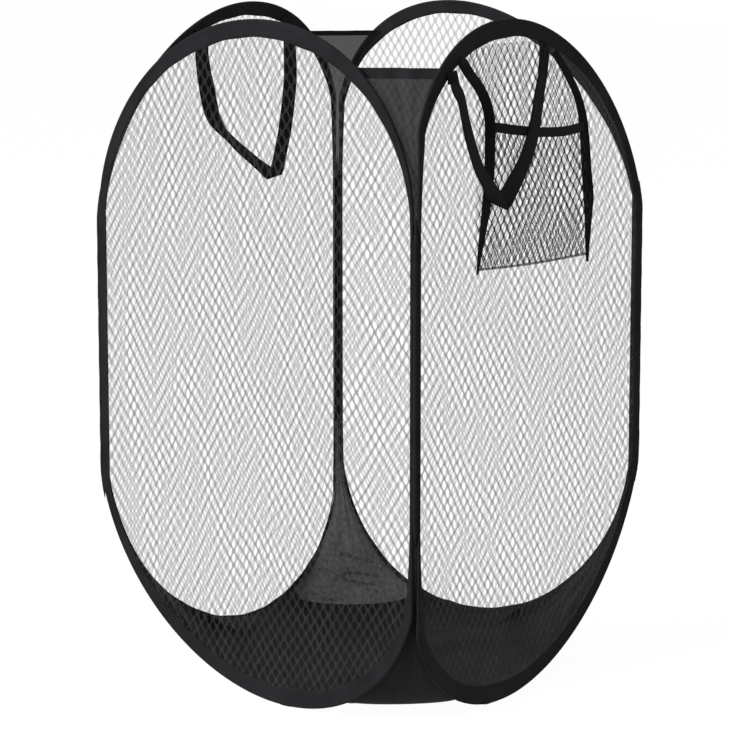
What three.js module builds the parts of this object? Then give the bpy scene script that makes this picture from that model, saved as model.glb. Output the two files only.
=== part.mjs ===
// Pop up laundry hamper: four sprung wire rings in sewn bindings, one net panel in each,
// joined at the corners of a square over a cloth floor. Millimetres, +Z up, origin on the
// ground under the middle of the floor. The front panel faces -Y and the right panel +X.
import * as THREE from "three";

// Driving dimensions
const SIDE = 355; // between neighbouring corner hinge lines
const HEIGHT = 610;
const SEWING_GAP = 0.3; // between pieces that are sewn or laid together
const CORNER_GAP = 0.3; // between the bindings of two panels at their hinge line

// How far each ring is pushed sideways at its top and bottom
const FRONT_TOP_LEAN = 11;
const FRONT_BOTTOM_LEAN = 40;
const RIGHT_TOP_LEAN = -48;
const RIGHT_BOTTOM_LEAN = -51;
const BACK_TOP_LEAN = 39;
const BACK_BOTTOM_LEAN = 20;
const LEFT_TOP_LEAN = -41;
const LEFT_BOTTOM_LEAN = -41;

// Binding, a tape folded over the wire and the edge of the net
const TAPE = 0.5;
const BULB_THICKNESS = 4.2;
const BULB_DEPTH = 4.1;
const LEG_AT_SIDES = 7;
const LEG_AT_ARCHES = 16;

// Spring wire and the crimped ferrule that joins its ends
const WIRE_RADIUS = 0.8;
const WIRE_END_GAP = 1;
const FERRULE_CLEARANCE = 0.2;
const FERRULE_WALL = 0.3;
const FERRULE_LENGTH = 12;
const WIRE_SIDES = 6;
const FERRULE_SIDES = 12;

// Net
const NET_THICKNESS = 1;
const NET_EDGE_INSET = 5.2;
const NET_CELL_WIDTH = 50;
const NET_CELL_HEIGHT = 84;
const NET_STRAND = 6;
const NET_RIM = 17;
const POCKET_CELL_WIDTH = 32;
const POCKET_CELL_HEIGHT = 44;
const POCKET_STRAND = 5;
const POCKET_NET_RIM = 5;

// Gussets, hems and floor
const CLOTH = 1;
const CLOTH_INSET = 5;
const FRONT_HEM_DROP = 46; // from the top of the rings to the top of a gusset
const SIDE_HEM_DROP = 42;
const BACK_HEM_DROP = 37;
const HEM_HEIGHT = 8;
const BACK_HEM_HEIGHT = 4;
const HEM_THICKNESS = 2.4;
const GUSSET_TIP_RISE = 25; // from where the rings leave the corner to the gusset's tip
const FLOOR_CORNER_RISE = 18;
const FLOOR_FLAT_SHARE = 0.8;

// Corner seam tape
const SEAM_SIZE = 3.8;
const SEAM_START = 0.2;
const SEAM_BEVEL_SHARE = 0.55;
const SEAM_OVERRUN = 8;

// Handles
const STRAP_WIDTH = 18;
const STRAP_THICKNESS = 1.4;
const STRAP_CLEARANCE = 0.4; // between the stitched tab and the strap that swings over it
const TAB_LENGTH = 10;
const TAB_EDGE_MARGIN = 3;
const RIGHT_HANDLE_SPAN = 140;
const RIGHT_HANDLE_OFFSET = -27;
const RIGHT_HANDLE_DROP = 110;
const RIGHT_TIP_OFFSET = 8;
const LEFT_HANDLE_SPAN = 130;
const LEFT_HANDLE_OFFSET = 3;
const LEFT_HANDLE_DROP = 138;
const LEFT_TIP_OFFSET = -35;
const TIP_ROUND = 9;
const DRAPE_SHARE = 0.5; // of the way down to the pocket's hem, where a strap clears it

// Pocket on the outside of the right panel
const POCKET_HALF_WIDTH = 78;
const POCKET_CENTRE = -5;
const POCKET_TOP_DROP = 33; // from the top of the ring to the ends of the tapes
const POCKET_BOTTOM_DROP = 222;
const POCKET_TOP_INSET = 8;
const POCKET_DEPTH = 8;
const POCKET_TAPE_WIDTH = 7;
const POCKET_TAPE_THIN = 1.4;
const POCKET_HEM_HEIGHT = 8;
const POCKET_HEM_THICKNESS = 2.4;
const POCKET_SEAM_HEIGHT = 4;
const HEM_SHARE = 0.66; // height of the hem, of the way from the pocket's bottom to its top
const POCKET_FOOT_SHARE = 0.03;
// Tape paths: across, in half widths from the pocket's centre, and up, as for the hem
const FRONT_TAPE_SHARES = [
  [-1.49, 1],
  [-1.26, 0.88],
  [-1, 0.79],
  [-0.92, 0.64],
  [-0.92, 0.43],
  [-1.04, 0.17],
  [-1.15, 0.02],
];
const REAR_TAPE_SHARES = [
  [0.35, 1],
  [0.5, 0.935],
  [0.69, 0.85],
  [0.85, 0.725],
  [0.9, 0.64],
  [0.94, 0.535],
  [1.04, 0.31],
  [1.06, 0.13],
  [1.03, -0.02],
];

// Counts
const ARC_STEPS = 16;
const GUSSET_ROWS = 7;
const FLOOR_EDGE_STEPS = 6;
const STRAP_STEPS = 6;
const POCKET_TOP_STEPS = 8;

// Derived sizes
const HALF = SIDE / 2;
const RING_RADIUS = HALF - CORNER_GAP / 2;
const FLAT_HALF_ANGLE = (FERRULE_LENGTH + TAPE) / 2 / RING_RADIUS;
const TOP_CENTRE = HEIGHT - RING_RADIUS;
const BOTTOM_CENTRE = RING_RADIUS * Math.cos(FLAT_HALF_ANGLE);
const INNER_FACE = CORNER_GAP / 2;
const MIDDLE = INNER_FACE + BULB_THICKNESS / 2;
const OUTER_FACE = INNER_FACE + BULB_THICKNESS;
const LEG_THICKNESS = NET_THICKNESS + 2 * SEWING_GAP + 2 * TAPE;
const FERRULE_INNER = WIRE_RADIUS + FERRULE_CLEARANCE;
const FERRULE_OUTER = FERRULE_INNER + FERRULE_WALL;
const WIRE_INSET = TAPE + SEWING_GAP + FERRULE_OUTER;

const PANELS = [
  { name: "front", topLean: FRONT_TOP_LEAN, bottomLean: FRONT_BOTTOM_LEAN },
  { name: "right", topLean: RIGHT_TOP_LEAN, bottomLean: RIGHT_BOTTOM_LEAN },
  { name: "back", topLean: BACK_TOP_LEAN, bottomLean: BACK_BOTTOM_LEAN },
  { name: "left", topLean: LEFT_TOP_LEAN, bottomLean: LEFT_BOTTOM_LEAN },
].map((panel, turn) => ({ ...panel, angle: (turn * Math.PI) / 2 }));
const [FRONT, RIGHT, BACK, LEFT] = PANELS;
const CORNERS = [
  { name: "front_right", before: FRONT, after: RIGHT, hemDrop: FRONT_HEM_DROP },
  { name: "back_right", before: RIGHT, after: BACK, hemDrop: SIDE_HEM_DROP },
  {
    name: "back_left",
    before: BACK,
    after: LEFT,
    hemDrop: BACK_HEM_DROP,
    hemHeight: BACK_HEM_HEIGHT,
  },
  { name: "front_left", before: LEFT, after: FRONT, hemDrop: SIDE_HEM_DROP },
].map((corner) => ({ hemHeight: HEM_HEIGHT, ...corner }));

const standard = (color, roughness, metalness = 0) =>
  new THREE.MeshStandardMaterial({ color, roughness, metalness });
const MATERIALS = {
  net: standard(0x303133, 0.8),
  binding: standard(0x17181b, 0.75),
  cloth: standard(0x232427, 0.7),
  pocket: standard(0x3a3b3d, 0.85),
  webbing: standard(0x141416, 0.8),
  steel: standard(0xb9bcc0, 0.35, 1),
};

const root = new THREE.Group();
const panelGroups = new Map(
  PANELS.map((panel) => {
    const group = new THREE.Group();
    group.rotation.z = panel.angle;
    root.add(group);
    return [panel, group];
  }),
);

function addMesh(parent, name, geometry, material) {
  const mesh = new THREE.Mesh(geometry, material);
  mesh.name = name;
  parent.add(mesh);
  return mesh;
}

// A point of a panel: across it, outwards from its inner plane, and up
const inPanel = (across, out, up) => new THREE.Vector3(across, -(HALF + out), up);
const inWorld = (panel, across, out, up) =>
  inPanel(across, out, up).applyAxisAngle(new THREE.Vector3(0, 0, 1), panel.angle);

// A closed solid from vertices and faces, turned so that its faces point out
function solid(vertices, faces) {
  const volume = faces.reduce((sum, [a, b, c]) => {
    const cross = vertices[b].clone().cross(vertices[c]);
    return sum + vertices[a].dot(cross);
  }, 0);
  const turned = volume < 0 ? faces.map(([a, b, c]) => [a, c, b]) : faces;
  const geometry = new THREE.BufferGeometry().setFromPoints(vertices);
  geometry.setIndex(turned.flat());
  geometry.computeVertexNormals();
  return geometry;
}

// Joins sections of equally many points, either round in a closed ring or with an end cap each
function loft(sections, closed) {
  const count = sections[0].length;
  const faces = [];
  sections.forEach((_, row) => {
    const next = (row + 1) % sections.length;
    if (!closed && next === 0) return;
    for (let i = 0; i < count; i += 1) {
      const j = (i + 1) % count;
      const [a, b] = [row * count + i, row * count + j];
      const [c, d] = [next * count + i, next * count + j];
      faces.push([a, b, d], [a, d, c]);
    }
  });
  if (!closed) {
    const last = (sections.length - 1) * count;
    for (let i = 1; i < count - 1; i += 1) {
      faces.push([0, i + 1, i], [last, last + i, last + i + 1]);
    }
  }
  return solid(sections.flat(), faces);
}

// Ring outlines. A place is an arc and an angle on it, counted from across the panel.
const TOP = { centre: TOP_CENTRE, way: 1 };
const BOTTOM = { centre: BOTTOM_CENTRE, way: -1 };
const ringPlaces = [];
for (let step = 0; step <= ARC_STEPS; step += 1) {
  ringPlaces.push({ arc: TOP, angle: (Math.PI * step) / ARC_STEPS });
}
for (let step = 0; step <= ARC_STEPS; step += 1) {
  const angle = Math.PI + (Math.PI * step) / ARC_STEPS;
  const isLowest = step === ARC_STEPS / 2;
  const turns = isLowest ? [-FLAT_HALF_ANGLE, FLAT_HALF_ANGLE] : [0];
  turns.forEach((turn) => ringPlaces.push({ arc: BOTTOM, angle: angle + turn }));
}

function leanAt(panel, up) {
  if (up > TOP_CENTRE) return (panel.topLean * (up - TOP_CENTRE)) / RING_RADIUS;
  if (up < BOTTOM_CENTRE) return (panel.bottomLean * (BOTTOM_CENTRE - up)) / RING_RADIUS;
  return 0;
}

// A leaning arch follows the corner until it turns away from it
function leant(panel, across, inset, up) {
  const limit = RING_RADIUS - inset;
  return THREE.MathUtils.clamp(across + leanAt(panel, up), -limit, limit);
}

function ringPoint(panel, { arc, angle }, inset, out) {
  const radius = RING_RADIUS - inset;
  const up = arc.centre + radius * Math.sin(angle);
  return inPanel(leant(panel, radius * Math.cos(angle), inset, up), out, up);
}

// Half the width of the ring's outline at a height, before it leans
function halfWidthAt(up, inset) {
  const radius = RING_RADIUS - inset;
  const past = Math.max(up - TOP_CENTRE, BOTTOM_CENTRE - up, 0);
  return Math.sqrt(Math.max(radius * radius - past * past, 0));
}
const edgeAt = (panel, up, inset, side) =>
  leant(panel, side * halfWidthAt(up, inset), inset, up);

// Height of the ring's top arch over a place across the panel
function archHeight(panel, across, inset) {
  const radius = RING_RADIUS - inset;
  const lean = (panel.topLean * radius) / RING_RADIUS;
  const angle = Math.atan2(lean, radius) + Math.acos(across / Math.hypot(radius, lean));
  return TOP_CENTRE + radius * Math.sin(angle);
}

function bindingGeometry(panel) {
  const half = BULB_THICKNESS / 2;
  const legHalf = LEG_THICKNESS / 2;
  const sections = ringPlaces.map((place) => {
    const leg =
      LEG_AT_SIDES + (LEG_AT_ARCHES - LEG_AT_SIDES) * Math.abs(Math.sin(place.angle));
    const side = [
      [0, half],
      [BULB_DEPTH, half],
      [leg, legHalf],
      [leg, legHalf - TAPE],
      [BULB_DEPTH - TAPE, half - TAPE],
      [TAPE, half - TAPE],
    ];
    const otherSide = side.map(([inset, out]) => [inset, -out]).reverse();
    return [...side, ...otherSide].map(([inset, out]) =>
      ringPoint(panel, place, inset, MIDDLE + out),
    );
  });
  return loft(sections, true);
}

function wireGeometry(panel) {
  const endTurn = WIRE_END_GAP / 2 / RING_RADIUS;
  const lowest = (3 * Math.PI) / 2;
  const isEnd = ({ angle }) => Math.abs(angle - lowest) < 2 * FLAT_HALF_ANGLE;
  const split = ringPlaces.findIndex(isEnd) + 1;
  const places = [
    { arc: BOTTOM, angle: lowest + endTurn },
    ...ringPlaces.slice(split),
    ...ringPlaces.slice(0, split),
    { arc: BOTTOM, angle: lowest - endTurn },
  ];
  const sections = places.map((place) =>
    Array.from({ length: WIRE_SIDES }, (_, i) => {
      const turn = (2 * Math.PI * i) / WIRE_SIDES;
      const inset = WIRE_INSET + WIRE_RADIUS * Math.cos(turn);
      return ringPoint(panel, place, inset, MIDDLE + WIRE_RADIUS * Math.sin(turn));
    }),
  );
  return loft(sections, false);
}

function ferruleMesh(panel) {
  const profile = [
    [FERRULE_INNER, -1],
    [FERRULE_OUTER, -1],
    [FERRULE_OUTER, 1],
    [FERRULE_INNER, 1],
    [FERRULE_INNER, -1],
  ].map(([radius, end]) => new THREE.Vector2(radius, (end * FERRULE_LENGTH) / 2));
  const geometry = new THREE.LatheGeometry(profile, FERRULE_SIDES);
  const name = `${panel.name}_wire_ferrule`;
  const mesh = addMesh(panelGroups.get(panel), name, geometry, MATERIALS.steel);
  const lowest = { arc: BOTTOM, angle: (3 * Math.PI) / 2 };
  mesh.position.copy(ringPoint(panel, lowest, WIRE_INSET, MIDDLE));
  mesh.rotation.z = Math.PI / 2;
}

// A net plate: an outline with diamond gaps wherever a whole diamond is inside
function netGeometry(outline, isInside, cell, inner, thickness) {
  const shape = new THREE.Shape(outline.map(([across, up]) => new THREE.Vector2(across, up)));
  const between = (cell.width * cell.height) / Math.hypot(cell.width, cell.height);
  const share = 1 - cell.strand / between;
  const ups = outline.map(([, up]) => up);
  const acrosses = outline.map(([across]) => across);
  const bottom = Math.min(...ups);
  const rows = Math.ceil((2 * (Math.max(...ups) - bottom)) / cell.height);
  const left = Math.min(...acrosses);
  const columns = Math.ceil((Math.max(...acrosses) - left) / cell.width);
  for (let row = 0; row <= rows; row += 1) {
    for (let column = 0; column <= columns; column += 1) {
      const across = left + (column + (row % 2) / 2) * cell.width;
      const up = bottom + (row * cell.height) / 2;
      const corners = [
        [across + (cell.width / 2) * share, up],
        [across, up + (cell.height / 2) * share],
        [across - (cell.width / 2) * share, up],
        [across, up - (cell.height / 2) * share],
      ];
      if (corners.every(([a, u]) => isInside(a, u))) {
        shape.holes.push(new THREE.Path(corners.map(([a, u]) => new THREE.Vector2(a, u))));
      }
    }
  }
  const geometry = new THREE.ExtrudeGeometry(shape, { depth: thickness, bevelEnabled: false });
  geometry.rotateX(Math.PI / 2);
  geometry.translate(0, -(HALF + inner), 0);
  return geometry;
}

function panelNetGeometry(panel) {
  const outline = ringPlaces.map((place) => {
    const point = ringPoint(panel, place, NET_EDGE_INSET, 0);
    return [point.x, point.z];
  });
  const isInside = (across, up) =>
    across > edgeAt(panel, up, NET_RIM, -1) && across < edgeAt(panel, up, NET_RIM, 1);
  const cell = { width: NET_CELL_WIDTH, height: NET_CELL_HEIGHT, strand: NET_STRAND };
  return netGeometry(outline, isInside, cell, MIDDLE - NET_THICKNESS / 2, NET_THICKNESS);
}

PANELS.forEach((panel) => {
  const group = panelGroups.get(panel);
  addMesh(group, `${panel.name}_net`, panelNetGeometry(panel), MATERIALS.net);
  addMesh(group, `${panel.name}_binding`, bindingGeometry(panel), MATERIALS.binding);
  addMesh(group, `${panel.name}_spring_wire`, wireGeometry(panel), MATERIALS.steel);
  ferruleMesh(panel);
});

// Corner pieces. A row of cloth runs level across a corner, inside both bindings.
function inwardAt(corner) {
  const point = inWorld(corner.before, HALF, 0, 0);
  return point.setZ(0).normalize().negate();
}

function clothRow(corner, up, thickness) {
  const before = edgeAt(corner.before, up, CLOTH_INSET, 1);
  const after = edgeAt(corner.after, up, CLOTH_INSET, -1);
  const a = inWorld(corner.before, before, -SEWING_GAP, up);
  const b = inWorld(corner.after, after, -SEWING_GAP, up);
  const inward = inwardAt(corner).multiplyScalar(thickness);
  return [a, b, b.clone().add(inward), a.clone().add(inward)];
}

function clothGeometry(corner, low, high, rows, thickness) {
  const sections = Array.from({ length: rows }, (_, row) =>
    clothRow(corner, low + ((high - low) * row) / (rows - 1), thickness),
  );
  return loft(sections, false);
}

function seamGeometry(corner) {
  const bevel = SEAM_SIZE * SEAM_BEVEL_SHARE;
  const section = [
    [SEAM_START, SEAM_START],
    [SEAM_SIZE, SEAM_START],
    [SEAM_SIZE, bevel],
    [bevel, SEAM_SIZE],
    [SEAM_START, SEAM_SIZE],
  ];
  const origin = inWorld(corner.before, HALF, 0, 0);
  const outBefore = inWorld(corner.before, HALF, 1, 0).sub(origin);
  const outAfter = inWorld(corner.after, -HALF, 1, 0).sub(origin);
  const ends = [BOTTOM_CENTRE - SEAM_OVERRUN, TOP_CENTRE + SEAM_OVERRUN];
  const sections = ends.map((up) =>
    section.map(([first, second]) =>
      origin
        .clone()
        .addScaledVector(outBefore, first)
        .addScaledVector(outAfter, second)
        .setZ(up),
    ),
  );
  return loft(sections, false);
}

const TOP_TIP = TOP_CENTRE + GUSSET_TIP_RISE;
const BOTTOM_TIP = BOTTOM_CENTRE - GUSSET_TIP_RISE;
const GUSSET_FOOT = FLOOR_CORNER_RISE + CLOTH + SEWING_GAP;
CORNERS.forEach((corner) => {
  const { name } = corner;
  const gussetTop = HEIGHT - corner.hemDrop;
  const hemFoot = gussetTop + SEWING_GAP;
  const top = clothGeometry(corner, TOP_TIP, gussetTop, GUSSET_ROWS, CLOTH);
  const bottom = clothGeometry(corner, GUSSET_FOOT, BOTTOM_TIP, GUSSET_ROWS, CLOTH);
  const hem = clothGeometry(corner, hemFoot, hemFoot + corner.hemHeight, 2, HEM_THICKNESS);
  addMesh(root, `${name}_top_gusset`, top, MATERIALS.cloth);
  addMesh(root, `${name}_top_hem`, hem, MATERIALS.binding);
  addMesh(root, `${name}_bottom_gusset`, bottom, MATERIALS.cloth);
  addMesh(root, `${name}_corner_seam`, seamGeometry(corner), MATERIALS.binding);
});

// Floor: flat on the ground in the middle, with one corner at each end of every panel, and
// rising from there to the rings and corner gussets at its edge
function floorGeometry() {
  const radius = RING_RADIUS - CLOTH_INSET;
  const reach = Math.acos((BOTTOM_CENTRE - FLOOR_CORNER_RISE) / radius);
  const rim = PANELS.flatMap((panel) =>
    Array.from({ length: FLOOR_EDGE_STEPS + 1 }, (_, step) => {
      const angle = reach * ((2 * step) / FLOOR_EDGE_STEPS - 1);
      const up = BOTTOM_CENTRE - radius * Math.cos(angle);
      const across = radius * Math.sin(angle) + leanAt(panel, up);
      return inWorld(panel, across, -SEWING_GAP, up);
    }),
  );
  const perPanel = FLOOR_EDGE_STEPS + 1;
  const flat = rim
    .filter((_, i) => i % perPanel === 0 || i % perPanel === FLOOR_EDGE_STEPS)
    .map((point) => point.clone().multiplyScalar(FLOOR_FLAT_SHARE).setZ(0));
  const nearestFlat = (i) => {
    const isPastMiddle = i % perPanel > FLOOR_EDGE_STEPS / 2;
    return 2 * Math.floor(i / perPanel) + (isPastMiddle ? 1 : 0);
  };
  const raise = (points) => points.map((point) => point.clone().setZ(point.z + CLOTH));
  const count = rim.length;
  const [lowFlat, highFlat] = [2 * count, 2 * count + flat.length];
  const faces = [];
  for (let i = 0; i < count; i += 1) {
    const j = (i + 1) % count;
    const [a, b] = [nearestFlat(i), nearestFlat(j)];
    faces.push([i, j, count + j], [i, count + j, count + i]);
    faces.push([lowFlat + a, j, i], [highFlat + a, count + i, count + j]);
    if (a !== b) {
      faces.push([lowFlat + a, lowFlat + b, j], [highFlat + a, count + j, highFlat + b]);
    }
  }
  for (let i = 1; i < flat.length - 1; i += 1) {
    faces.push([lowFlat, lowFlat + i + 1, lowFlat + i]);
    faces.push([highFlat, highFlat + i, highFlat + i + 1]);
  }
  return solid([...rim, ...raise(rim), ...flat, ...raise(flat)], faces);
}
addMesh(root, "floor_panel", floorGeometry(), MATERIALS.cloth);

// Pocket
const BACK_NET_INNER = OUTER_FACE + SEWING_GAP;
const TAPE_INNER = BACK_NET_INNER + NET_THICKNESS + SEWING_GAP;
const TAPE_OUTER = TAPE_INNER + POCKET_DEPTH;
const FRONT_NET_OUTER = TAPE_OUTER - TAPE;

// Handle places. The strap hangs from a level line through its two stitched tabs.
function handlePlan(panel, span, offset) {
  const lean = leanAt(panel, HEIGHT - LEG_AT_ARCHES - TAB_LENGTH);
  const centre = lean + offset;
  const outerEdge = (end) => centre + end * (span / 2 + STRAP_WIDTH / 2);
  const tabTop = (end) => archHeight(panel, outerEdge(end), 0) - TAB_EDGE_MARGIN;
  const pivot = Math.min(tabTop(-1), tabTop(1)) - TAB_LENGTH;
  return { centre, pivot, tabTop, span };
}
const rightHandle = handlePlan(RIGHT, RIGHT_HANDLE_SPAN, RIGHT_HANDLE_OFFSET);
const leftHandle = handlePlan(LEFT, LEFT_HANDLE_SPAN, LEFT_HANDLE_OFFSET);

const POCKET_TOP = HEIGHT - POCKET_TOP_DROP;
const POCKET_BOTTOM = HEIGHT - POCKET_BOTTOM_DROP;
const pocketUp = (share) => POCKET_BOTTOM + (POCKET_TOP - POCKET_BOTTOM) * share;
const pocketAcross = (share) => POCKET_CENTRE + POCKET_HALF_WIDTH * share;

// Where a tape's middle is at a height
function tapeAcross(shares, up) {
  const points = shares.map(([across, rise]) => [pocketAcross(across), pocketUp(rise)]);
  const index = points.findIndex(([, rise], i) => i > 0 && rise <= up);
  const [[fromAcross, fromUp], [toAcross, toUp]] = [points[index - 1], points[index]];
  return fromAcross + ((toAcross - fromAcross) * (fromUp - up)) / (fromUp - toUp);
}

function tapeGeometry(shares) {
  const hemUp = pocketUp(HEM_SHARE);
  const sections = shares.map(([across, rise]) => {
    const middle = pocketAcross(across);
    const up = pocketUp(rise);
    const down = Math.min(1, (POCKET_TOP - up) / (POCKET_TOP - hemUp));
    const depth = POCKET_TAPE_THIN + (POCKET_DEPTH - POCKET_TAPE_THIN) * down;
    const half = POCKET_TAPE_WIDTH / 2;
    return [
      inPanel(middle - half, TAPE_INNER, up),
      inPanel(middle + half, TAPE_INNER, up),
      inPanel(middle + half, TAPE_INNER + depth, up),
      inPanel(middle - half, TAPE_INNER + depth, up),
    ];
  });
  return loft(sections, false);
}

// Outline of the space between the tapes, drawn in from their middles by a margin
function betweenTapes(low, high, margin) {
  const heights = [low];
  [...FRONT_TAPE_SHARES, ...REAR_TAPE_SHARES]
    .map(([, rise]) => pocketUp(rise))
    .filter((up) => up > low && up < high)
    .sort((a, b) => a - b)
    .forEach((up) => heights.push(up));
  heights.push(high);
  const frontEdge = heights.map((up) => [tapeAcross(FRONT_TAPE_SHARES, up) + margin, up]);
  const rearEdge = heights.map((up) => [tapeAcross(REAR_TAPE_SHARES, up) - margin, up]);
  return [...rearEdge, ...frontEdge.reverse()];
}

// The back net's top edge follows the ring's arch, under its binding
function backNetTop() {
  const from = tapeAcross(REAR_TAPE_SHARES, POCKET_TOP);
  const to = tapeAcross(FRONT_TAPE_SHARES, POCKET_TOP);
  return Array.from({ length: POCKET_TOP_STEPS + 1 }, (_, step) => {
    const across = from + ((to - from) * step) / POCKET_TOP_STEPS;
    const up = archHeight(RIGHT, across, POCKET_TOP_INSET);
    return [across, Math.max(up, POCKET_TOP + SEWING_GAP)];
  });
}

function pocketNet(low, high, margin, inner, topEdge) {
  const cell = { width: POCKET_CELL_WIDTH, height: POCKET_CELL_HEIGHT, strand: POCKET_STRAND };
  const rim = margin + POCKET_TAPE_WIDTH / 2 + POCKET_NET_RIM;
  const isInside = (across, up) =>
    up > low + POCKET_NET_RIM &&
    up < high - POCKET_NET_RIM &&
    across > tapeAcross(FRONT_TAPE_SHARES, up) + rim &&
    across < tapeAcross(REAR_TAPE_SHARES, up) - rim;
  const edges = betweenTapes(low, high, margin);
  const middle = edges.length / 2;
  const outline = [...edges.slice(0, middle), ...topEdge, ...edges.slice(middle)];
  return netGeometry(outline, isInside, cell, inner, NET_THICKNESS);
}

// A level bar between the tapes
function pocketBar(low, high, inner, outer) {
  const margin = POCKET_TAPE_WIDTH / 2 + SEWING_GAP;
  const sections = [FRONT_TAPE_SHARES, REAR_TAPE_SHARES].map((shares, index) => {
    const inwards = index === 0 ? margin : -margin;
    return [
      [low, inner],
      [low, outer],
      [high, outer],
      [high, inner],
    ].map(([up, out]) => inPanel(tapeAcross(shares, up) + inwards, out, up));
  });
  return loft(sections, false);
}

const rightGroup = panelGroups.get(RIGHT);
const pocketFoot = pocketUp(POCKET_FOOT_SHARE);
const pocketHem = pocketUp(HEM_SHARE);
const frontNetFoot = pocketFoot + POCKET_SEAM_HEIGHT + SEWING_GAP;
const besideTape = POCKET_TAPE_WIDTH / 2 + SEWING_GAP;
const backNet = pocketNet(pocketFoot, POCKET_TOP, 0, BACK_NET_INNER, backNetTop());
const frontNetInner = FRONT_NET_OUTER - NET_THICKNESS;
const frontNet = pocketNet(frontNetFoot, pocketHem, besideTape, frontNetInner, []);
const hemLow = pocketHem + SEWING_GAP;
const hemInner = TAPE_OUTER - POCKET_HEM_THICKNESS;
const pocketHemBar = pocketBar(hemLow, hemLow + POCKET_HEM_HEIGHT, hemInner, TAPE_OUTER);
const seamTop = pocketFoot + POCKET_SEAM_HEIGHT;
const pocketSeam = pocketBar(pocketFoot, seamTop, TAPE_INNER, TAPE_OUTER);
addMesh(rightGroup, "pocket_back_net", backNet, MATERIALS.pocket);
addMesh(rightGroup, "pocket_front_net", frontNet, MATERIALS.pocket);
addMesh(rightGroup, "pocket_front_tape", tapeGeometry(FRONT_TAPE_SHARES), MATERIALS.webbing);
addMesh(rightGroup, "pocket_rear_tape", tapeGeometry(REAR_TAPE_SHARES), MATERIALS.webbing);
addMesh(rightGroup, "pocket_hem", pocketHemBar, MATERIALS.webbing);
addMesh(rightGroup, "pocket_bottom_seam", pocketSeam, MATERIALS.webbing);

// Handles. Out is the way from the net to the strap: 1 outside the panel, -1 inside it.
function strapGeometry(plan, drop, tipOffset, out, start, bulge) {
  const tip = new THREE.Vector2(plan.centre + tipOffset, plan.pivot - drop);
  const ends = [-1, 1].map(
    (end) => new THREE.Vector2(plan.centre + (end * plan.span) / 2, plan.pivot),
  );
  const rounding = ends.map((end) => end.clone().sub(tip).setLength(TIP_ROUND).add(tip));
  const line = (from, to) =>
    Array.from({ length: STRAP_STEPS }, (_, i) => from.clone().lerp(to, i / STRAP_STEPS));
  const arc = new THREE.QuadraticBezierCurve(rounding[0], tip, rounding[1]);
  const path = [
    ...line(ends[0], rounding[0]),
    ...arc.getPoints(STRAP_STEPS),
    ...line(ends[1], rounding[1]).reverse(),
  ];
  const sections = path.map((point, i) => {
    const before = path[Math.max(i - 1, 0)];
    const after = path[Math.min(i + 1, path.length - 1)];
    const along = after.clone().sub(before).normalize();
    const isEnd = i === 0 || i === path.length - 1;
    const spread = isEnd
      ? new THREE.Vector2(Math.sign(along.x) || 1, 0).multiplyScalar(STRAP_WIDTH / 2)
      : new THREE.Vector2(-along.y, along.x).multiplyScalar(STRAP_WIDTH / 2);
    if (isEnd && along.x * -along.y < 0) spread.negate();
    const hang = (plan.pivot - point.y) / bulge.over;
    const inner = start + bulge.reach * Math.min(1, hang);
    const outer = inner + STRAP_THICKNESS;
    return [
      [1, inner],
      [-1, inner],
      [-1, outer],
      [1, outer],
    ].map(([side, depth]) =>
      inPanel(point.x + side * spread.x, out * depth, point.y + side * spread.y),
    );
  });
  return loft(sections, false);
}

function tabGeometry(plan, end, inner, outer) {
  const middle = plan.centre + (end * plan.span) / 2;
  const half = STRAP_WIDTH / 2;
  const sections = [plan.pivot, plan.tabTop(end)].map((up) => [
    inPanel(middle - half, inner, up),
    inPanel(middle + half, inner, up),
    inPanel(middle + half, outer, up),
    inPanel(middle - half, outer, up),
  ]);
  return loft(sections, false);
}

// The faces that the two tabs are sewn to lie at their own depths
function addHandle(panel, plan, drop, tipOffset, out, faces, bulge) {
  const group = panelGroups.get(panel);
  const tabOuter = Math.max(...faces) + SEWING_GAP + STRAP_THICKNESS;
  [
    ["first", -1],
    ["second", 1],
  ].forEach(([word, end], index) => {
    const tabInner = faces[index] + SEWING_GAP;
    const tab = tabGeometry(plan, end, out * tabInner, out * tabOuter);
    addMesh(group, `${panel.name}_handle_${word}_tab`, tab, MATERIALS.webbing);
  });
  const start = tabOuter + STRAP_CLEARANCE;
  const strap = strapGeometry(plan, drop, tipOffset, out, start, bulge);
  addMesh(group, `${panel.name}_handle_strap`, strap, MATERIALS.webbing);
}

const backNetOuter = BACK_NET_INNER + NET_THICKNESS;
const strapInner = backNetOuter + SEWING_GAP + STRAP_THICKNESS + STRAP_CLEARANCE;
const overPocket = {
  reach: TAPE_OUTER + SEWING_GAP - strapInner,
  over: (rightHandle.pivot - (hemLow + POCKET_HEM_HEIGHT)) * DRAPE_SHARE,
};
const flat = { reach: 0, over: LEFT_HANDLE_DROP };
const rightFaces = [OUTER_FACE, backNetOuter];
const leftFaces = [-INNER_FACE, -INNER_FACE];
addHandle(RIGHT, rightHandle, RIGHT_HANDLE_DROP, RIGHT_TIP_OFFSET, 1, rightFaces, overPocket);
addHandle(LEFT, leftHandle, LEFT_HANDLE_DROP, LEFT_TIP_OFFSET, -1, leftFaces, flat);

export default root;
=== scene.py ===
# Looks of a pop up laundry hamper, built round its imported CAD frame. Metres, seeded, alone.
import math

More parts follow.
